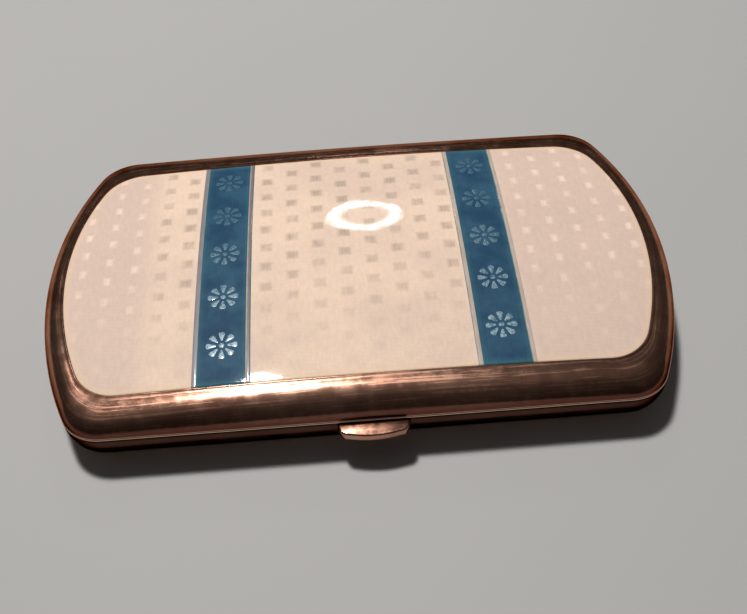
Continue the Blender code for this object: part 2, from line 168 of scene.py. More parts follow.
class Plan:
    """A rectangle with bowed ends and round corners."""

    def __init__(self, half_length, half_width, end_radius, corner_radius):
        self.sizes = (half_length, half_width, end_radius, corner_radius)
        self.half_width, self.end, self.corner = half_width, end_radius, corner_radius
        self.end_x = half_length - end_radius
        self.corner_y = half_width - corner_radius
        self.corner_x = self.end_x + math.sqrt((end_radius - corner_radius) ** 2 - self.corner_y**2)
        self.meet = math.atan2(self.corner_y, self.corner_x - self.end_x)

    def inset(self, depth):
        """The parallel plan this far inside."""
        return Plan(*(size - depth for size in self.sizes))

    def points(self):
        """The plan's points, anticlockwise from the middle of the +X end."""
        quarter = [
            (self.end_x + self.end * math.cos(a), self.end * math.sin(a))
            for a in steps(0, self.meet, END_STEPS)
        ]
        quarter += [
            (self.corner_x + self.corner * math.cos(a), self.corner_y + self.corner * math.sin(a))
            for a in steps(self.meet, math.pi / 2, CORNER_STEPS)
        ]
        quarter += [(x, self.half_width) for x in steps(self.corner_x, 0, SIDE_STEPS)]
        half = quarter + [(-x, y) for x, y in [(0, self.half_width)] + quarter[:0:-1]]
        return half + [(-x, -y) for x, y in half]

    def reach(self, y):
        """How far along X the plan reaches at this y."""
        y = min(abs(y), self.half_width)
        if y <= self.end * math.sin(self.meet):
            return self.end_x + math.sqrt(self.end**2 - y**2)
        return self.corner_x + math.sqrt(max(self.corner**2 - (y - self.corner_y) ** 2, 0))

    def depth(self, x, y):
        """How far inside the outline a point lies."""
        x, y = abs(x), abs(y)
        across, up = x - self.corner_x, y - self.corner_y
        if across > 0 and up > 0 and math.atan2(up, across) > self.meet:
            return self.corner - math.hypot(across, up)
        return min(self.half_width - y, self.end - math.hypot(x - self.end_x, y))


case_low, case_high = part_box("lid_frame")
plate_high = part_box("guilloche_plate")[1]
hinge_low, hinge_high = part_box("hinge_pin")
HINGE = (hinge_low + hinge_high) / 2
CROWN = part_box("enamel_centre")[1].z
LID_BOTTOM = case_low.z
BASE_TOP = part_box("base_shell")[1].z
CASE = Plan(case_high.x, -case_low.y, CASE_END, CASE_CORNER)
FIELD = Plan(plate_high.x + PLATE_GAP, plate_high.y + PLATE_GAP, FIELD_END, FIELD_CORNER)
GLASS = FIELD.inset(GLASS_GAP)
TRAY = FIELD.inset(TRAY_GAP)


def crown(x, y):
    """Height of the lid's crowned top."""
    return CROWN - y**2 / (2 * CROWN_RADIUS_ACROSS) - x**2 / (2 * CROWN_RADIUS_ALONG)


def level_ring(plan, z):
    return [Vector((x, y, z)) for x, y in plan.points()]


def crowned_ring(plan, depth, scale=1.0):
    """A ring that lies this deep under the crown."""
    scaled = [(x * scale, y * scale) for x, y in plan.points()]
    return [Vector((x, y, crown(x, y) - depth)) for x, y in scaled]


def arc_rings(low, high, count):
    """Rings on the quarter ellipse that leaves the low ring upright and meets the high ring level."""
    rings = []
    for n in range(count + 1):
        angle = math.pi / 2 * n / count
        across, up = 1 - math.cos(angle), math.sin(angle)
        rings.append(
            [
                Vector((*one.xy.lerp(other.xy, across), one.z + (other.z - one.z) * up))
                for one, other in zip(low, high)
            ]
        )
    return rings


def softened(corners):
    """A closed section of (inset, height, radius) corners, with each corner rounded."""
    section = []
    for n, (across, up, radius) in enumerate(corners):
        here = Vector((across, up))
        if not radius:
            section.append(here)
            continue
        before = Vector(corners[n - 1][:2]) - here
        after = Vector(corners[(n + 1) % len(corners)][:2]) - here
        start, end = here + before.normalized() * radius, here + after.normalized() * radius
        for share in [m / ARC_STEPS for m in range(ARC_STEPS + 1)]:
            section.append(start.lerp(here, share).lerp(here.lerp(end, share), share))
    return section


def section_rings(plan, corners):
    return [level_ring(plan.inset(point.x), point.y) for point in softened(corners)]


def sweep_shares():
    """For each point of a plan, the share of the way round the case that it lies at."""
    points = [Vector(point) for point in CASE.points()]
    lengths = [(point - points[n - 1]).length for n, point in enumerate(points)]
    lengths[0] = 0
    total = sum(lengths) + (points[0] - points[-1]).length
    shares, so_far = [], 0
    for length in lengths:
        so_far += length
        shares.append(so_far / total)
    return shares, total


SHARES, ROUND_LENGTH = sweep_shares()


def mark_sweep(layer, loops):
    """Stores where each point lies round the case and along its section, in millimetres."""
    radius = ROUND_LENGTH / math.tau / MM
    along = 0
    for n, loop in enumerate(loops):
        if n:
            along += (loop[0].co - loops[n - 1][0].co).length / MM
        shares = SHARES if len(loop) == len(SHARES) else [0] * len(loop)
        for vert, share in zip(loop, shares):
            angle = math.tau * share
            vert[layer] = (radius * math.cos(angle), radius * math.sin(angle), along)


def loft(rings, closed=False):
    """A bmesh through the rings in order. A ring of one point is a pole, and open ends are filled."""
    made = bmesh.new()
    sweep = made.verts.layers.float_vector.new("sweep")
    loops = [[made.verts.new(point) for point in ring] for ring in rings]
    following = loops[1:] + (loops[:1] if closed else [])
    for one, other in zip(loops, following):
        for n in range(max(len(one), len(other))):
            if len(one) == 1:
                corners = [one[0], other[n], other[n - 1]]
            elif len(other) == 1:
                corners = [one[n - 1], one[n], other[0]]
            else:
                corners = [one[n - 1], one[n], other[n], other[n - 1]]
            made.faces.new(corners)
    for end in () if closed else (loops[0], loops[-1]):
        if len(end) > 2:
            made.faces.new(end)
    mark_sweep(sweep, loops)
    return made


def joined(shapes):
    """Several bmeshes as one, still as separate closed shapes."""
    whole = bmesh.new()
    for shape in shapes:
        part = bpy.data.meshes.new("part")
        shape.to_mesh(part)
        shape.free()
        whole.from_mesh(part)
        bpy.data.meshes.remove(part)
    return whole


def box(low, high):
    made = bmesh.new()
    bmesh.ops.create_cube(made, size=1)
    bmesh.ops.scale(made, vec=[b - a for a, b in zip(low, high)], verts=made.verts)
    bmesh.ops.translate(made, vec=[(a + b) / 2 for a, b in zip(low, high)], verts=made.verts)
    return made


def turned(profile, axis):
    """Rings about the hinge's axis ("X") or an upright one ("Z"), from (place, radius) pairs."""
    rings = []
    for place, radius in profile:
        ring = []
        for angle in steps(0, math.tau, ROUND_SIDES):
            one, other = radius * math.cos(angle), radius * math.sin(angle)
            point = (place, one, other) if axis == "X" else (one, other, place)
            ring.append(Vector(point))
        rings.append(ring)
    return rings


def slab(outline, low, high, upright):
    """An outline pushed through from low to high, along Z when upright and along X when not."""
    if upright:
        rings = [[Vector((x, y, z)) for x, y in outline] for z in (low, high)]
    else:
        rings = [[Vector((x, y, z)) for y, z in outline] for x in (low, high)]
    return loft(rings)


def moved(made, place):
    bmesh.ops.translate(made, verts=made.verts, vec=place)
    return made


def smooth(mesh):
    mesh.shade_smooth()
    mesh.set_sharp_from_angle(angle=SMOOTH_ANGLE)


def bake_modifiers(piece):
    """Puts the result of the piece's modifiers in its mesh."""
    graph = bpy.context.evaluated_depsgraph_get()
    mesh = bpy.data.meshes.new_from_object(piece.evaluated_get(graph))
    piece.modifiers.clear()
    piece.data = mesh
    smooth(mesh)


def carve(piece, shapes, operation="DIFFERENCE"):
    """Cuts the shapes from the piece, or joins them to it."""
    helpers = []
    for shape in shapes:
        bmesh.ops.recalc_face_normals(shape, faces=shape.faces)
        mesh = bpy.data.meshes.new("cutter")
        shape.to_mesh(mesh)
        shape.free()
        helper = bpy.data.objects.new("cutter", mesh)
        bpy.context.scene.collection.objects.link(helper)
        modifier = piece.modifiers.new(operation.lower(), "BOOLEAN")
        modifier.operation = operation
        modifier.object = helper
        helpers.append(helper)
    bake_modifiers(piece)
    for helper in helpers:
        bpy.data.objects.remove(helper)


def bevel(piece, width, segments=3):
    modifier = piece.modifiers.new("edges", "BEVEL")
    modifier.width = width
    modifier.segments = segments
    modifier.limit_method = "ANGLE"
    modifier.angle_limit = BEVEL_ANGLE
    bake_modifiers(piece)


def add_piece(name, made, material, node, body):
    """A visible piece that stands for a CAD node, rides on its body and takes the slot's finish."""
    bmesh.ops.recalc_face_normals(made, faces=made.faces)
    mesh = bpy.data.meshes.new(name)
    made.to_mesh(mesh)
    made.free()
    smooth(mesh)
    piece = bpy.data.objects.new(name, mesh)
    bpy.context.scene.collection.objects.link(piece)
    mesh.materials.append(material)
    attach(piece, body)
    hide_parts(node)
    return piece


# ---------------------------------------------------------------------------------- finishes


class Finish:
    """A material and its nodes, with short calls for the nodes that the finishes share."""

    def __init__(self, name, **values):
        self.material = bpy.data.materials.new(name)
        self.material.use_nodes = True
        self.nodes = self.material.node_tree.nodes
        self.links = self.material.node_tree.links
        self.shader = self.nodes["Principled BSDF"]
        for socket, value in values.items():
            self.feed(socket.replace("_", " "), value)

    def connect(self, target, value):
        if isinstance(value, bpy.types.NodeSocket):
            self.links.new(value, target)
        else:
            target.default_value = value

    def feed(self, socket, value):
        self.connect(self.shader.inputs[socket], value)

    def node(self, kind, values=(), **settings):
        made = self.nodes.new(f"ShaderNode{kind}")
        for name, setting in settings.items():
            setattr(made, name, setting)
        for socket, value in dict(values).items():
            self.connect(made.inputs[socket], value)
        return made

    def math(self, operation, *values):
        return self.node("Math", enumerate(values), operation=operation).outputs[0]

    def ease(self, value, start, end, low=0.0, high=1.0):
        """Goes smoothly from low to high while value goes from start to end."""
        sockets = {"Value": value, "From Min": start, "From Max": end, "To Min": low, "To Max": high}
        return self.node("MapRange", sockets, interpolation_type="SMOOTHSTEP").outputs["Result"]

    def mix(self, share, one, other):
        sockets = {0: share, 6: one, 7: other}
        return self.node("Mix", sockets, data_type="RGBA").outputs[2]

    def shade(self, colour, factor):
        """The colour, darker or brighter by a factor."""
        return self.node("HueSaturation", {"Color": colour, "Value": factor}).outputs[0]

    def stretch(self, vector, scale):
        return self.node("VectorMath", {0: vector, 1: scale}, operation="MULTIPLY").outputs[0]

    def place(self):
        """The point on the piece, in millimetres."""
        return self.stretch(self.node("TexCoord").outputs["Object"], (1 / MM, 1 / MM, 1 / MM))

    def sweep(self):
        """Round the case and along its section, in millimetres."""
        return self.node("Attribute", attribute_name="sweep").outputs["Vector"]

    def value(self, name):
        return self.node("Attribute", attribute_name=name).outputs["Fac"]

    def split(self, vector):
        return self.node("SeparateXYZ", {0: vector}).outputs

    def noise(self, vector, scale=(1, 1, 1), detail=2.0, rough=0.5):
        sockets = {"Vector": self.stretch(vector, scale), "Scale": 1.0}
        sockets |= {"Detail": detail, "Roughness": rough}
        return self.node("TexNoise", sockets).outputs["Fac"]

    def bump(self, height, distance, normal=None):
        """height as relief, distance deep in millimetres."""
        sockets = {"Height": height, "Distance": distance * MM, "Strength": 1.0}
        made = self.node("Bump", sockets)
        if normal:
            self.links.new(normal, made.inputs["Normal"])
        return made.outputs["Normal"]

    def skin(self, place):
        """Slow waves in the clear coat."""
        self.feed("Coat Normal", self.bump(self.noise(place, (0.35, 0.35, 0.35)), 0.012))

    def grooves(self, value, spacing):
        """Fine engraved lines: -1 to 1, once in every spacing."""
        return self.math("SINE", self.math("MULTIPLY", value, math.tau / spacing))

    def hairlines(self, vector, along, across, share):
        """Thin scratches: noise drawn out in one direction, of which only the peaks are kept."""
        field = self.noise(vector, (along, along, across), detail=3.0, rough=0.6)
        return self.ease(field, share, share + 0.06)


def polished_metal(name, colour, deep_colour, roughness, swept, painted_shade_heights=None, dark=None):
    """Old polished metal: hairlines along the sweep, handling marks, and soft waves from buffing.

    The last two arguments paint shade and dark reflection low down: four heights in
    millimetres, over which it grows from the first to the second and fades from the third to
    the fourth, and its colour, which also tints reflections at a shallow angle. Below the
    first height the metal is rubbed bright: worn on the base's foot, and a painted highlight
    on the lid's bead.
    """
    finish = Finish(name, Metallic=1.0)
    place = finish.place()
    lay = finish.sweep() if swept else place
    cloud = finish.noise(place, (0.16, 0.16, 0.16), 4.0, 0.6)
    smudge = finish.noise(place, (0.5, 0.5, 0.5), 3.0, 0.65)
    fine = finish.hairlines(lay, 0.10, 7.0, 0.56)
    sparse = finish.hairlines(lay, 0.05, 2.6, 0.62)
    crossing = finish.ease(finish.noise(place, (5.0, 0.4, 2.0), 3.0, 0.6), 0.72, 0.78)
    marks = finish.math("MAXIMUM", finish.math("MAXIMUM", fine, sparse), crossing)
    tone = finish.mix(finish.ease(cloud, 0.35, 0.7), colour, deep_colour)
    tone = finish.mix(finish.math("MULTIPLY", marks, 0.25), tone, colour)
    if painted_shade_heights:
        starts, full_from, full_to, ends = painted_shade_heights
        height = finish.split(place)[2]
        low = finish.ease(height, starts, full_from)
        height = finish.math("MULTIPLY_ADD", smudge, 0.8, finish.math("SUBTRACT", height, 0.4))
        high = finish.ease(height, ends, full_to)
        # Bare rubbed metal low down: worn on the base's foot, a painted highlight on the lid's bead
        tone = finish.mix(low, RUBBED_AND_HIGHLIGHT, tone)
        # Painted shade and dark reflection, which also tints the reflections
        cover = finish.math("MULTIPLY", finish.math("MINIMUM", low, high), 0.92)
        tone = finish.mix(cover, tone, dark)
        finish.feed("Specular Tint", tone)
    finish.feed("Base Color", tone)
    haze = finish.ease(smudge, 0.38, 0.66, roughness, roughness + 0.10)
    finish.feed("Roughness", finish.math("ADD", haze, finish.math("MULTIPLY", marks, 0.14)))
    waves = finish.noise(lay, (0.10, 0.10, 0.45), 2.0, 0.5)
    buffed = finish.bump(waves, 0.018)
    finish.feed("Normal", finish.bump(marks, -0.0007, buffed))
    return finish.material


def satin_metal(name, colour, deep_colour, roughness):
    """Gilt or steel left as it came from a fine brush."""
    finish = Finish(name, Metallic=1.0)
    place = finish.place()
    grain = finish.noise(place, (0.5, 22.0, 22.0), 3.0, 0.6)
    cloud = finish.noise(place, (0.12, 0.16, 0.16), 3.0, 0.6)
    marks = finish.ease(finish.noise(place, (0.15, 6.0, 6.0), 3.0, 0.6), 0.62, 0.70)
    finish.feed("Base Color", finish.mix(finish.ease(cloud, 0.3, 0.7), colour, deep_colour))
    rough = finish.ease(grain, 0.25, 0.75, roughness - 0.02, roughness + 0.03)
    finish.feed("Roughness", finish.math("MULTIPLY_ADD", marks, 0.04, rough))
    finish.feed("Normal", finish.bump(grain, 0.0003))
    return finish.material


def lattice(finish, x, y, half_x, half_y, softness):
    """The engraved lattice, whose columns are staggered.

    Gives a value that is 1 inside the bricks, and how far across its brick each point lies.
    """
    pitch = LATTICE_PITCH
    column = finish.math("WRAP", finish.math("SUBTRACT", x, LATTICE_X), pitch, -pitch)
    odd = finish.math("GREATER_THAN", finish.math("ABSOLUTE", column), pitch / 2)
    across = finish.math("WRAP", column, pitch / 2, -pitch / 2)
    shifted = finish.math("MULTIPLY_ADD", odd, pitch / 2, finish.math("SUBTRACT", y, LATTICE_Y))
    along = finish.math("WRAP", shifted, pitch / 2, -pitch / 2)
    outside_x = finish.math("SUBTRACT", finish.math("ABSOLUTE", across), half_x)
    outside_y = finish.math("SUBTRACT", finish.math("ABSOLUTE", along), half_y)
    outside = finish.math("MAXIMUM", outside_x, outside_y)
    return finish.ease(outside, softness, -softness), across


def glass(name):
    """Coloured glass: a dull body under a clear, polished coat."""
    finish = Finish(name, Roughness=0.5, Coat_Weight=1.0, Coat_Roughness=0.03)
    finish.feed("Specular IOR Level", 0.12)
    finish.feed("Coat IOR", 1.5)
    return finish


def cream_enamel():
    """Milky glass over an engraved ground: staggered bricks, fine lines between, a warmer edge, and
    painted light on the ends and the bricks.
    """
    finish = glass("cream_enamel")
    place = finish.place()
    x, y, _ = finish.split(place)
    to_left, to_right = finish.ease(x, -22.0, -28.0), finish.ease(x, 17.0, 20.5)
    towards_end = finish.math("MAXIMUM", to_left, to_right)
    half_x = finish.ease(towards_end, 0, 1, 0.67, 0.36)
    half_y = finish.ease(towards_end, 0, 1, 0.60, 0.54)
    wobble = finish.noise(place, (1.1, 1.1, 1.1), 2.0, 0.5)
    x_off = finish.math("MULTIPLY_ADD", wobble, 0.2, finish.math("SUBTRACT", x, 0.1))
    bricks, across = lattice(finish, x_off, y, half_x, half_y, 0.30)
    lines = finish.grooves(across, BRICK_LINES)
    wave = finish.math("MULTIPLY_ADD", finish.grooves(x, LATTICE_PITCH), 0.12, y)
    ground = finish.grooves(wave, GROUND_LINES)
    relief = finish.math("MULTIPLY_ADD", bricks, finish.math("SUBTRACT", lines, ground), ground)
    cloud = finish.noise(place, (0.09, 0.11, 0.1), 3.0, 0.55)
    middle = finish.mix(finish.ease(cloud, 0.35, 0.7, 0.0, 0.5), CREAM_WARM, CREAM_COOL)
    # Painted light: the middle warmer and the ends greyer, as the light falls on them
    tone = finish.mix(finish.ease(towards_end, 0, 1, 0.0, 0.7), middle, CREAM_COOL)
    # Painted light on the engraving: the bricks are darker than their ground in the middle and paler
    # towards the ends, where their facets catch the light, and they wash out towards the front as a
    # painted glare
    strength = finish.ease(y, -15.0, 1.0, 0.15, 1.0)
    grooves = finish.math("MULTIPLY_ADD", lines, 0.12, 0.95)
    fade = finish.ease(finish.noise(place, (0.5, 0.5, 0.5), 2.0, 0.5), 0.3, 0.62, 0.55, 1.15)
    painted_brick_light = finish.math("MULTIPLY", finish.ease(towards_end, 0, 1, -0.30, 0.28), strength)
    painted_brick_light = finish.math("MULTIPLY", finish.math("MULTIPLY", painted_brick_light, fade), grooves)
    gain = finish.math("MULTIPLY_ADD", bricks, painted_brick_light, 1.0)
    gain = finish.math("MULTIPLY_ADD", relief, 0.008, gain)
    mottle = finish.noise(place, (2.6, 1.1, 1.0), 3.0, 0.6)
    gain = finish.math("ADD", gain, finish.ease(mottle, 0.3, 0.7, -0.035, 0.035))
    tone = finish.shade(tone, gain)
    edge = finish.ease(finish.value("edge"), 1.1, 0.25)
    finish.feed("Base Color", finish.mix(finish.math("MULTIPLY", edge, 0.3), tone, CREAM_EDGE))
    engraved = finish.bump(relief, 0.0015)
    finish.feed("Normal", finish.bump(bricks, -0.003, engraved))
    finish.skin(place)
    return finish.material


def blue_enamel():
    """Deep blue glass over long engraved lines, greener where it thins at its edges."""
    finish = glass("blue_enamel")
    place = finish.place()
    x = finish.split(place)[0]
    lines = finish.grooves(x, BLUE_LINES)
    cloud = finish.noise(place, (0.3, 0.3, 0.3), 3.0, 0.6)
    deep, light = (0.015, 0.058, 0.116, 1), (0.032, 0.096, 0.160, 1)
    tone = finish.mix(finish.ease(cloud, 0.3, 0.7), deep, light)
    thin = finish.ease(finish.value("side"), 0.7, 0.0)
    tone = finish.mix(finish.math("MULTIPLY", thin, 0.3), tone, (0.045, 0.17, 0.20, 1))
    front = finish.ease(finish.value("edge"), 1.0, 0.0)
    tone = finish.mix(finish.math("MULTIPLY", front, 0.5), tone, (0.04, 0.17, 0.21, 1))
    finish.feed("Base Color", finish.shade(tone, finish.math("MULTIPLY_ADD", lines, 0.03, 1.0)))
    finish.feed("Normal", finish.bump(lines, 0.0015))
    finish.skin(place)
    return finish.material


def pale_line(name, middle, beside_blue, beside_cream):
    """An opaque painted line under the glass, whose two edges are tinted by what lies beside it."""
    finish = Finish(name, Roughness=0.4, Coat_Weight=0.6, Coat_Roughness=0.1)
    finish.feed("Coat IOR", 1.5)
    place = finish.place()
    share = finish.value("share")
    mottle = finish.noise(place, (2.0, 0.5, 1.0), 3.0, 0.6)
    wander = finish.math("MULTIPLY_ADD", mottle, 0.2, finish.math("SUBTRACT", share, 0.1))
    tone = finish.mix(finish.ease(wander, 0.0, 0.35), beside_blue, middle)
    tone = finish.mix(finish.ease(wander, 0.6, 1.0), tone, beside_cream)
    finish.feed("Base Color", finish.shade(tone, finish.ease(mottle, 0.3, 0.7, 0.9, 1.08)))
    finish.feed("Normal", finish.bump(mottle, 0.01))
    return finish.material


def pale_foil():
    """Small cut foils of pale metal, crinkled, with a painted sheen that fades nearly to the blue
    towards the hinge.
    """
    finish = Finish("pale_foil", Metallic=0.1, Coat_Weight=0.6, Coat_Roughness=0.06)
    place = finish.place()
    crinkle = finish.noise(place, (4.0, 4.0, 4.0), 3.0, 0.65)
    dull, bright = (0.05, 0.14, 0.22, 1), (0.31, 0.42, 0.48, 1)
    tone = finish.mix(finish.ease(crinkle, 0.38, 0.56), dull, bright)
    # Painted sheen: the foils are brightest towards the front and fade nearly to the blue towards the
    # hinge
    painted_sheen_fade = finish.ease(finish.split(place)[1], -14.0, 9.0, 0.0, 0.96)
    tone = finish.mix(painted_sheen_fade, tone, (0.045, 0.125, 0.185, 1))
    finish.feed("Base Color", tone)
    finish.feed("Roughness", finish.ease(crinkle, 0.3, 0.7, 0.22, 0.42))
    finish.feed("Normal", finish.bump(crinkle, 0.02))
    return finish.material


def engraved_silver():
    """The engraved plate that the glass was fused to."""
    finish = Finish("engraved_silver", Metallic=1.0)
    place = finish.place()
    x, y, _ = finish.split(place)
    bricks, across = lattice(finish, x, y, 0.7, 0.62, 0.1)
    lines = finish.grooves(across, BRICK_LINES)
    cloud = finish.noise(place, (0.3, 0.3, 0.3), 3.0, 0.6)
    finish.feed("Base Color", finish.mix(cloud, (0.86, 0.86, 0.84, 1), (0.78, 0.76, 0.72, 1)))
    finish.feed("Roughness", finish.ease(cloud, 0.3, 0.7, 0.2, 0.32))
    finish.feed("Normal", finish.bump(finish.math("MULTIPLY", bricks, lines), 0.02))
    return finish.material


class Finishes:
    """Every material of the object, made once."""

    def __init__(self):
        rose, deep_rose = (0.66, 0.36, 0.255, 1), (0.46, 0.225, 0.155, 1)
        gold, deep_gold = (0.90, 0.66, 0.38, 1), (0.84, 0.59, 0.32, 1)
        steel, deep_steel = (0.58, 0.58, 0.59, 1), (0.46, 0.46, 0.48, 1)
        # The rim and the base carry painted shade and dark reflection low down, and the lid's bead a
        # painted highlight
        self.rose_lid = polished_metal(
            "rose_gold_lid", rose, deep_rose, 0.145, True, (5.0, 5.1, 5.3, 7.3), RIM_PAINTED_SHADE
        )
        self.rose_base = polished_metal(
            "rose_gold_base", rose, deep_rose, 0.145, True, (0.4, 2.8, 6.0, 7.0), BASE_PAINTED_SHADE
        )
        self.rose_plain = polished_metal("rose_gold_small", rose, deep_rose, 0.15, False)
        self.gilt = satin_metal("gilt", gold, deep_gold, 0.27)
        self.steel = satin_metal("spring_steel", steel, deep_steel, 0.3)
        self.silver = engraved_silver()
        self.cream = cream_enamel()
        self.blue = blue_enamel()
        self.foil = pale_foil()
        silver_white, teal = (0.22, 0.22, 0.24, 1), (0.05, 0.10, 0.14, 1)
        lilac, ivory = (0.19, 0.17, 0.18, 1), (0.48, 0.41, 0.35, 1)
        grey = (0.24, 0.22, 0.22, 1)
        self.lines = {
            "left_band_outer_line": pale_line("pale_line_silver", silver_white, silver_white, grey),
            "left_band_inner_line": pale_line("pale_line_lilac", lilac, teal, ivory),
            "right_band_inner_line": pale_line("pale_line_white", ivory, lilac, ivory),
            "right_band_outer_line": pale_line("pale_line_ivory", ivory, teal, ivory),
        }


# ------------------------------------------------------------------------------------ pieces


def hinge_groove():
    """The round groove that the barrel of the hinge lies in."""
    low, high = hinge_low.x - GROOVE_END_GAP, hinge_high.x + GROOVE_END_GAP
    rings = turned([(low, GROOVE_RADIUS), (high, GROOVE_RADIUS)], "X")
    return moved(loft(rings), (0, HINGE.y, HINGE.z))


def bead_rings(plan, z, start, end):
    """A small half-round bead, between two angles from level, that touches the plan at height z."""
    rings = []
    for n in range(BEAD_STEPS + 1):
        angle = start + (end - start) * n / BEAD_STEPS
        inset = BEAD_RADIUS * (1 - math.cos(angle))
        rings.append(level_ring(plan.inset(inset), z + BEAD_RADIUS * math.sin(angle)))
    return rings


def add_lid_rim(finishes):
    """The rim: a ledge, a fine bezel round the glass, the swept side and a bead at the seam."""
    rim_low = level_ring(CASE.inset(LIP_STEP), LID_BOTTOM + LIP_TOP)
    rim_high = crowned_ring(FIELD.inset(-BEZEL_WIDTH), 0)
    rings = [crowned_ring(FIELD.inset(LEDGE_WIDTH), LEDGE_TOP), crowned_ring(FIELD, LEDGE_TOP)]
    rings.append(crowned_ring(FIELD, GLASS_GAP))
    for share in [n / BEZEL_STEPS for n in range(1, BEZEL_STEPS)]:
        rise = BEZEL_RISE * math.sin(math.pi * share)
        rings.append(crowned_ring(FIELD.inset(-BEZEL_WIDTH * share), -rise))
    rings += reversed(arc_rings(rim_low, rim_high, SWEEP_STEPS))
    bead_z = LID_BOTTOM + BEAD_RADIUS
    rings += bead_rings(CASE, bead_z, BEAD_OPEN, -math.pi / 2)
    inner_low = level_ring(CASE.inset(WALL), LID_BOTTOM)
    inner_high = crowned_ring(FIELD.inset(-HOLLOW_OUTSET), LEDGE_UNDERSIDE)
    rings += arc_rings(inner_low, inner_high, ARC_STEPS * 2)
    rings += [crowned_ring(FIELD.inset(LEDGE_WIDTH), LEDGE_UNDERSIDE)]
    rim = add_piece(
        "lid_rim", loft(rings, closed=True), finishes.rose_lid, "lid_frame", "lid"
    )
    carve(rim, [hinge_groove()])


def crowned_sheet(plan, top, thickness):
    """A sheet of this thickness that follows the crown, from this far under it."""
    scales = eased(SHEET_STEPS)[:0:-1]
    rings = [crowned_ring(plan, top, scale) for scale in reversed(scales)]
    rings += [crowned_ring(plan, top + thickness, scale) for scale in scales]
    middle = crown(0, 0) - top
    return loft([[Vector((0, 0, middle))], *rings, [Vector((0, 0, middle - thickness))]])


def add_lid_sheets(finishes):
    """The engraved plate under the glass, and the liner that closes the inside of the lid."""
    inside = FIELD.inset(PLATE_GAP)
    plate = crowned_sheet(inside, PLATE_TOP, PLATE_THICKNESS)
    add_piece("engraved_plate", plate, finishes.silver, "guilloche_plate", "lid")
    liner = crowned_sheet(inside, LINER_TOP, LINER_THICKNESS)
    add_piece("inner_liner", liner, finishes.gilt, "lid_liner", "lid")


def side_x(x, y):
    """x, or the glass's edge in this row where that lies nearer the middle."""
    reach = GLASS.reach(y)
    return max(-reach, min(reach, x))


def grid_rim(grid):
    """The points round the edge of a grid, in order."""
    ends, starts = [row[-1] for row in grid[1:]], [row[0] for row in grid[-2:0:-1]]
    return grid[0] + ends + grid[-1][-2::-1] + starts


def glass_sheet(low_x, high_x, columns, rise):
    """A stripe of glass that follows the crown, rounded where it meets the bezel."""
    made = bmesh.new()
    edge_layer = made.verts.layers.float.new("edge")
    side_layer = made.verts.layers.float.new("side")
    share_layer = made.verts.layers.float.new("share")
    grids = [[], []]
    for along in eased(ROWS):
        y = GLASS.half_width * (2 * along - 1)
        start, end = side_x(low_x, y), side_x(high_x, y)
        rows = [[], []]
        for across in eased(columns):
            x = start + (end - start) * across
            depth = max(GLASS.depth(x, y), 0)
            short = max(GLASS_ROUND - depth, 0)
            drop = GLASS_ROUND - math.sqrt(GLASS_ROUND**2 - short**2)
            proud = rise * (1 - (2 * across - 1) ** 2)
            for row, z in zip(rows, (crown(x, y) - drop + proud, crown(x, y) - GLASS_DEPTH)):
                vert = made.verts.new((x, y, z))
                vert[edge_layer] = depth / MM
                vert[side_layer] = min(abs(x - low_x), abs(high_x - x)) / MM
                vert[share_layer] = across if abs(low_x) < abs(high_x) else 1 - across
                row.append(vert)
        for grid, row in zip(grids, rows):
            grid.append(row)
    top, bottom = grids
    for grid in grids:
        for one, other in zip(grid, grid[1:]):
            for n in range(columns):
                made.faces.new([one[n], one[n + 1], other[n + 1], other[n]])
    upper, lower = (grid_rim(grid) for grid in (top, bottom))
    for n in range(len(upper)):
        made.faces.new([upper[n - 1], upper[n], lower[n], lower[n - 1]])
    return made


def add_enamel(finishes):
    """The glass field, stripe by stripe, each as wide as its CAD node."""
    gap = GLASS_GAP / 2
    for name in ("centre", "left_end", "right_end", "left_band", "right_band"):
        node = f"enamel_{name}"
        low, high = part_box(node)
        blue = name.endswith("band")
        material = finishes.blue if blue else finishes.cream
        made = glass_sheet(low.x - gap, high.x + gap, COLUMNS, 0)
        add_piece(f"glass_{name}", made, material, node, "lid")
    for node, material in finishes.lines.items():
        low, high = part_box(node)
        made = glass_sheet(low.x - gap, high.x + gap, LINE_COLUMNS, LINE_RISE)
        add_piece(f"painted_{node}", made, material, node, "lid")


def foil_shape(outline):
    """A thin domed foil over an outline on the crown."""
    middle = sum((Vector(point) for point in outline), Vector((0, 0))) / len(outline)
    heights = [(1.0, -FOIL_SINK)] + [(scale, FOIL_RISE * share) for scale, share in FOIL_DOME]
    rings = []
    for scale, rise in heights:
        ring = [middle.lerp(Vector(point), scale) for point in outline]
        rings.append([Vector((*point, crown(*point) + rise)) for point in ring])
    return loft([*rings, [Vector((*middle, crown(*middle) + FOIL_RISE))]])


def add_rosettes(finishes):
    """Eight petals and a dot, at the middle of each rosette node."""
    outline = [*PETAL_OUTLINE, *((far, -half) for far, half in PETAL_OUTLINE[-2::-1])]
    for side in ("left", "right"):
        for n in range(1, ROSETTES + 1):
            node = f"rosette_{side}_{n}"
            low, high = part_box(node)
            middle = ((low + high) / 2).xy
            dot = [
                middle + DOT_RADIUS * Vector((math.cos(a), math.sin(a)))
                for a in steps(0, math.tau, DOT_SIDES)
            ]
            shapes = [foil_shape(dot)]
            for petal in range(PETALS):
                turn = Matrix.Rotation(math.tau * petal / PETALS, 2)
                shapes.append(foil_shape([middle + turn @ Vector(point) * MM for point in outline]))
            made = joined(shapes)
            add_piece(f"flower_{side}_{n}", made, finishes.foil, node, "lid")


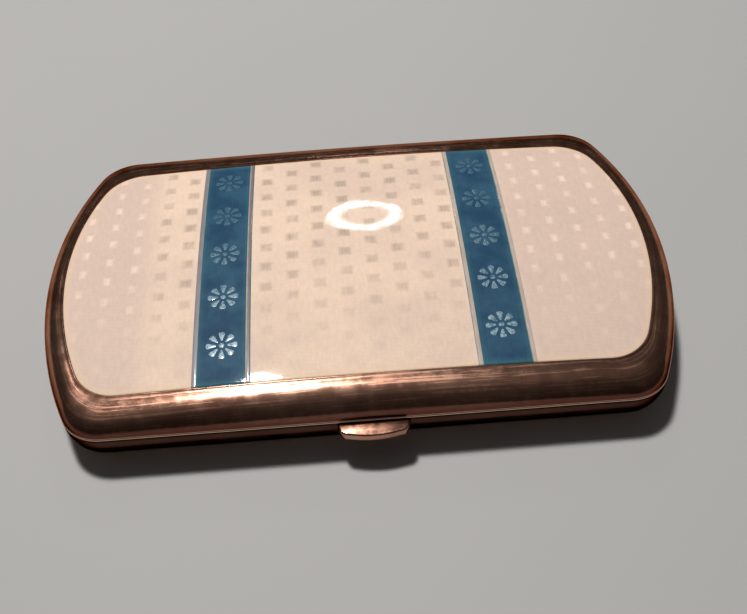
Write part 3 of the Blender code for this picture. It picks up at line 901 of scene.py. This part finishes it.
def add_base(finishes):
    """The base: a rounded belly on a flat foot, and a bead that answers the lid's."""
    foot, foot_inside = CASE.inset(FOOT_INSET), CASE.inset(FOOT_INSET + FOOT_WALL)
    belly = arc_rings(level_ring(CASE, SIDE_TOP), level_ring(foot, 0), SWEEP_STEPS)
    bead_z = BASE_TOP - BEAD_RADIUS
    rings = [[Vector((x * s, y * s, 0)) for x, y in foot.points()] for s in FOOT_SHARES]
    rings = [[Vector((0, 0, 0))], *rings, *reversed(belly)]
    rings += bead_rings(CASE, bead_z, -BEAD_OPEN, math.pi / 2)
    inner_low = level_ring(foot_inside, FLOOR_TOP)
    inner_high = level_ring(CASE.inset(WALL), SIDE_TOP)
    rings += [level_ring(CASE.inset(WALL), BASE_TOP)]
    rings += arc_rings(inner_high, inner_low, ARC_STEPS * 2)
    rings += [[Vector((0, 0, FLOOR_TOP))]]
    base = add_piece(
        "base_case", loft(rings), finishes.rose_base, "base_shell", "base"
    )
    tab_low, tab_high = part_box("thumb_piece")
    notch = box(
        (tab_low.x - NOTCH_GAP, case_low.y - CUT_MARGIN, tab_low.z - NOTCH_GAP),
        (tab_high.x + NOTCH_GAP, case_low.y + NOTCH_DEPTH, LID_BOTTOM),
    )
    carve(base, [hinge_groove(), notch])


def add_tray(finishes):
    """The tray, with a round foot to its wall inside and out."""
    low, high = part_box("pill_tray")
    inside = TRAY.inset(TRAY_WALL)
    floor = low.z + TRAY_WALL
    bend = low.z + TRAY_ROUND
    foot = level_ring(TRAY.inset(TRAY_ROUND), low.z)
    foot_inside = level_ring(inside.inset(TRAY_WALL), floor)
    outer = arc_rings(level_ring(TRAY, bend), foot, ARC_STEPS * 2)
    inner = arc_rings(level_ring(inside, bend), foot_inside, ARC_STEPS * 2)
    rings = [[Vector((0, 0, low.z))], *reversed(outer)]
    rings += [level_ring(TRAY, high.z), level_ring(inside, high.z)]
    rings += [*inner, [Vector((0, 0, floor))]]
    add_piece("tray", loft(rings), finishes.gilt, "pill_tray", "base")


def add_inner_flange(finishes):
    """The flange round the tray, with the rib that the lid closes over."""
    low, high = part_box("inner_frame")
    edge, back = RIB_INSET, RIB_INSET + RIB_THICKNESS
    section = [
        (edge, low.z, 0),
        (edge, high.z, SOFT_EDGE),
        (back, high.z, SOFT_EDGE),
        (back, FLANGE_TOP, SOFT_EDGE),
    ]
    rings = section_rings(CASE, section)
    mouth = TRAY.inset(TRAY_WALL)
    rings += [
        level_ring(mouth.inset(-SOFT_EDGE), FLANGE_TOP),
        level_ring(mouth, FLANGE_TOP - SOFT_EDGE),
        level_ring(mouth, low.z),
    ]
    piece = add_piece(
        "inner_flange", loft(rings, closed=True), finishes.gilt, "inner_frame", "base"
    )
    tab_low, tab_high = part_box("thumb_piece")
    hook_low, hook_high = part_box("latch_hook")
    room = box(
        (tab_low.x - ROOM_GAP, case_low.y, low.z - CUT_MARGIN),
        (tab_high.x + ROOM_GAP, TAB_INNER_Y + ROOM_BACK, high.z + CUT_MARGIN),
    )
    slot = box(
        (hook_low.x - SLOT_GAP, hook_low.y - SLOT_GAP, low.z - CUT_MARGIN),
        (hook_high.x + SLOT_GAP, hook_high.y + ROOM_BACK, high.z + CUT_MARGIN),
    )
    carve(piece, [room, slot])


def add_hinge(finishes):
    """Chamfered knuckles on the base and on the lid, and the pin through them."""
    for owner, count in (("base", 4), ("lid", 3)):
        for n in range(1, count + 1):
            node = f"{owner}_knuckle_{n}"
            low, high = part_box(node)
            radius = (high.z - low.z) / 2
            chamfer = KNUCKLE_CHAMFER
            profile = [
                (low.x, BORE_RADIUS),
                (low.x, radius - chamfer),
                (low.x + chamfer / 3, radius - chamfer / 3),
                (low.x + chamfer, radius),
                (high.x - chamfer, radius),
                (high.x - chamfer / 3, radius - chamfer / 3),
                (high.x, radius - chamfer),
                (high.x, BORE_RADIUS),
            ]
            made = moved(loft(turned(profile, "X"), closed=True), (0, HINGE.y, HINGE.z))
            add_piece(f"{owner}_hinge_{n}", made, finishes.rose_plain, node, owner)
    radius = (hinge_high.z - hinge_low.z) / 2
    dome = radius / 3
    profile = [(hinge_low.x, radius - dome), (hinge_low.x + dome, radius)]
    profile += [(hinge_high.x - dome, radius), (hinge_high.x, radius - dome)]
    made = moved(loft(turned(profile, "X")), (0, HINGE.y, HINGE.z))
    add_piece("pin", made, finishes.steel, "hinge_pin", "base")


def tab_outline(low, high):
    """The thumb-piece from above: a bowed front edge between two round corners."""
    middle, half = (low.x + high.x) / 2, (high.x - low.x) / 2
    flat = half - TAB_CORNER
    right = [(half, TAB_INNER_Y)]
    for angle in steps(0, math.pi / 2, TAB_STEPS):
        x = flat + TAB_CORNER * math.cos(angle)
        right.append((x, low.y + TAB_BOW + TAB_CORNER * (1 - math.sin(angle))))
    right += [(x, low.y + TAB_BOW * (x / flat) ** 2) for x in steps(flat, 0, TAB_STEPS)]
    outline = right + [(0, low.y)] + [(-x, y) for x, y in reversed(right)]
    return [(middle + x, y) for x, y in outline]


def add_latch(finishes):
    """The thumb-piece with its tongue, the hook, the leaf spring on its posts, and the lid's catch."""
    low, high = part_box("thumb_piece")
    outline = tab_outline(low, high)
    tab = add_piece(
        "push_tab", slab(outline, low.z, high.z, True), finishes.rose_plain,
        "thumb_piece", "latch",
    )
    bevel(tab, TAB_EDGE, 5)
    tongue = box(
        (-TONGUE_HALF, TAB_INNER_Y - TAB_CORNER, TONGUE_LOW), (TONGUE_HALF, high.y, TONGUE_HIGH)
    )
    carve(tab, [tongue], "UNION")

    low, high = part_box("latch_hook")
    front = high.y - HOOK_THICKNESS
    section = [(front, low.z), (high.y, low.z), (high.y, high.z)]
    section += [(low.y + SOFT_EDGE * 2, high.z), (low.y, NOSE_LOW + SOFT_EDGE), (low.y, NOSE_LOW)]
    section += [(front, NOSE_LOW)]
    hook = add_piece(
        "hook", slab(section, low.x, high.x, False), finishes.gilt, "latch_hook", "latch"
    )
    bevel(hook, SOFT_EDGE / 2)

    low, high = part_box("lid_catch")
    section = [(low.y, low.z), (high.y, low.z), (high.y, high.z), (low.y, high.z)]
    catch = add_piece(
        "catch", slab(section, low.x, high.x, False), finishes.gilt, "lid_catch", "lid"
    )
    bevel(catch, SOFT_EDGE / 2)

    low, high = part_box("latch_spring")
    leaf = []
    for n in range(SPRING_STEPS + 1):
        along = 2 * n / SPRING_STEPS - 1
        y = low.y + SPRING_BOW * along**2
        narrow = SOFT_EDGE * 4 * abs(along) ** 12
        corners = ((y, low.z + narrow), (y + SPRING_THICKNESS, low.z + narrow))
        corners += ((y + SPRING_THICKNESS, high.z - narrow), (y, high.z - narrow))
        leaf.append([Vector((along * high.x, *corner)) for corner in corners])
    spring = add_piece(
        "leaf_spring", loft(leaf), finishes.steel, "latch_spring", "latch"
    )
    bevel(spring, SOFT_EDGE / 3, 2)

    for side in ("left", "right"):
        low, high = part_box(f"spring_post_{side}")
        middle, radius = (low + high) / 2, (high.x - low.x) / 2
        profile = [(low.z, radius), (high.z - radius / 3, radius), (high.z, radius * 2 / 3)]
        made = moved(loft(turned(profile, "Z")), (middle.x, middle.y, 0))
        add_piece(f"post_{side}", made, finishes.gilt, f"spring_post_{side}", "base")


# ------------------------------------------------------------------------------------- stage


def add_camera():
    """In front of the case, looking down at it, tilted a little."""
    data = bpy.data.cameras.new("camera")
    data.lens = CAMERA_LENS
    data.sensor_width = CAMERA_SENSOR
    data.clip_start = CAMERA_NEAR
    camera = bpy.data.objects.new("camera", data)
    bpy.context.scene.collection.objects.link(camera)
    turn = Matrix.Rotation(math.radians(CAMERA_YAW), 4, "Z")
    turn @= Matrix.Rotation(math.radians(90 - CAMERA_PITCH), 4, "X")
    turn @= Matrix.Rotation(math.radians(CAMERA_ROLL), 4, "Z")
    camera.matrix_world = Matrix.Translation(CAMERA_PLACE) @ turn
    bpy.context.scene.camera = camera


def add_floor():
    """A plain pale floor."""
    made = bmesh.new()
    bmesh.ops.create_circle(made, cap_ends=True, segments=FLOOR_SIDES, radius=FLOOR_RADIUS)
    mesh = bpy.data.meshes.new("floor")
    made.to_mesh(mesh)
    made.free()
    floor = bpy.data.objects.new("floor", mesh)
    bpy.context.scene.collection.objects.link(floor)
    finish = Finish("floor", Roughness=0.6)
    cloud = finish.noise(finish.place(), (0.01, 0.01, 0.01), 2.0, 0.5)
    finish.feed("Base Color", finish.mix(cloud, (0.40, 0.397, 0.392, 1), (0.43, 0.426, 0.42, 1)))
    mesh.materials.append(finish.material)


def direction(azimuth, elevation):
    """A unit vector. Azimuth 0 is behind the case (+Y) and 90 to its right (+X)."""
    a, e = math.radians(azimuth), math.radians(elevation)
    return Vector((math.sin(a) * math.cos(e), math.cos(a) * math.cos(e), math.sin(e)))


def softbox(name, towards, aim, size, power):
    """A round soft light that faces the point it is aimed at."""
    data = bpy.data.lights.new(name, "AREA")
    data.shape = "DISK"
    data.size = size
    data.energy = power
    data.color = LIGHT_COLOUR
    light = bpy.data.objects.new(name, data)
    bpy.context.scene.collection.objects.link(light)
    away = direction(*towards)
    light.location = Vector(aim) + away * LIGHT_DISTANCE
    light.rotation_euler = away.to_track_quat("Z", "Y").to_euler()
    return light


def make_ring(light):
    """Dims the middle of a round light, which leaves a soft ring."""
    light.use_nodes = True
    nodes, links = light.node_tree.nodes, light.node_tree.links
    parametric = nodes.new("ShaderNodeNewGeometry").outputs["Parametric"]
    centred = nodes.new("ShaderNodeVectorMath")
    centred.operation = "SUBTRACT"
    centred.inputs[1].default_value = (0.5, 0.5, 0)
    length = nodes.new("ShaderNodeVectorMath")
    length.operation = "LENGTH"
    links.new(parametric, centred.inputs[0])
    links.new(centred.outputs[0], length.inputs[0])
    strength = nodes.new("ShaderNodeMath")
    strength.operation = "MULTIPLY"
    for n, (start, end, low) in enumerate((RING_INSIDE, RING_OUTSIDE)):
        ring = nodes.new("ShaderNodeMapRange")
        ring.interpolation_type = "SMOOTHSTEP"
        ring.inputs["From Min"].default_value = start
        ring.inputs["From Max"].default_value = end
        ring.inputs["To Min"].default_value = low
        links.new(length.outputs["Value"], ring.inputs["Value"])
        links.new(ring.outputs["Result"], strength.inputs[n])
    links.new(strength.outputs[0], nodes["Emission"].inputs["Strength"])


def add_world():
    """A soft dome: brightest high up behind the case, dim elsewhere, pale at and under the horizon."""
    world = bpy.data.worlds.new("studio")
    bpy.context.scene.world = world
    world.use_nodes = True
    nodes, links = world.node_tree.nodes, world.node_tree.links
    coordinates = nodes.new("ShaderNodeTexCoord")
    towards = nodes.new("ShaderNodeVectorMath")
    towards.operation = "DOT_PRODUCT"
    towards.inputs[1].default_value = direction(*DOME_TOWARDS)
    ramp = nodes.new("ShaderNodeValToRGB")
    ramp.color_ramp.interpolation = "EASE"
    ramp.color_ramp.elements[0].color = DOME_DARKEST
    ramp.color_ramp.elements[1].color = DOME_BRIGHTEST
    for place, level in DOME_LEVELS:
        element = ramp.color_ramp.elements.new(place)
        element.color = (level, level * 0.98, level * 0.95, 1)
    share = nodes.new("ShaderNodeMath")
    share.operation = "MULTIPLY_ADD"
    share.inputs[1].default_value = 0.5
    share.inputs[2].default_value = 0.5
    background = nodes["Background"]
    links.new(coordinates.outputs["Generated"], towards.inputs[0])
    links.new(towards.outputs["Value"], share.inputs[0])
    links.new(share.outputs[0], ramp.inputs[0])
    height = nodes.new("ShaderNodeSeparateXYZ")
    horizon = nodes.new("ShaderNodeMapRange")
    horizon.interpolation_type = "SMOOTHSTEP"
    horizon.inputs["To Max"].default_value = 0.0
    for socket, value in zip(("From Min", "From Max", "To Min"), HORIZON):
        horizon.inputs[socket].default_value = value
    total = nodes.new("ShaderNodeMix")
    total.data_type = "RGBA"
    total.blend_type = "ADD"
    total.inputs[0].default_value = 1.0
    links.new(coordinates.outputs["Generated"], height.inputs[0])
    links.new(height.outputs[2], horizon.inputs["Value"])
    links.new(ramp.outputs[0], total.inputs[6])
    links.new(horizon.outputs["Result"], total.inputs[7])
    links.new(total.outputs[2], background.inputs["Color"])
    background.inputs["Strength"].default_value = 1.0


def add_lights():
    """A small key, a larger fill that isn't mirrored in the metal, and a ring lamp behind."""
    add_world()
    softbox("key", KEY_TOWARDS, KEY_AIM, KEY_SIZE, KEY_POWER)
    fill = softbox("fill", KEY_TOWARDS, KEY_AIM, FILL_SIZE, FILL_POWER)
    fill.visible_glossy = False
    lamp = softbox("lamp", LAMP_TOWARDS, LAMP_AIM, LAMP_SIZE, LAMP_POWER)
    make_ring(lamp.data)
    bpy.context.scene.view_settings.view_transform = "Standard"


add_camera()
add_floor()
add_lights()
finishes = Finishes()
add_lid_rim(finishes)
add_lid_sheets(finishes)
add_enamel(finishes)
add_rosettes(finishes)
add_base(finishes)
add_tray(finishes)
add_inner_flange(finishes)
add_hinge(finishes)
add_latch(finishes)
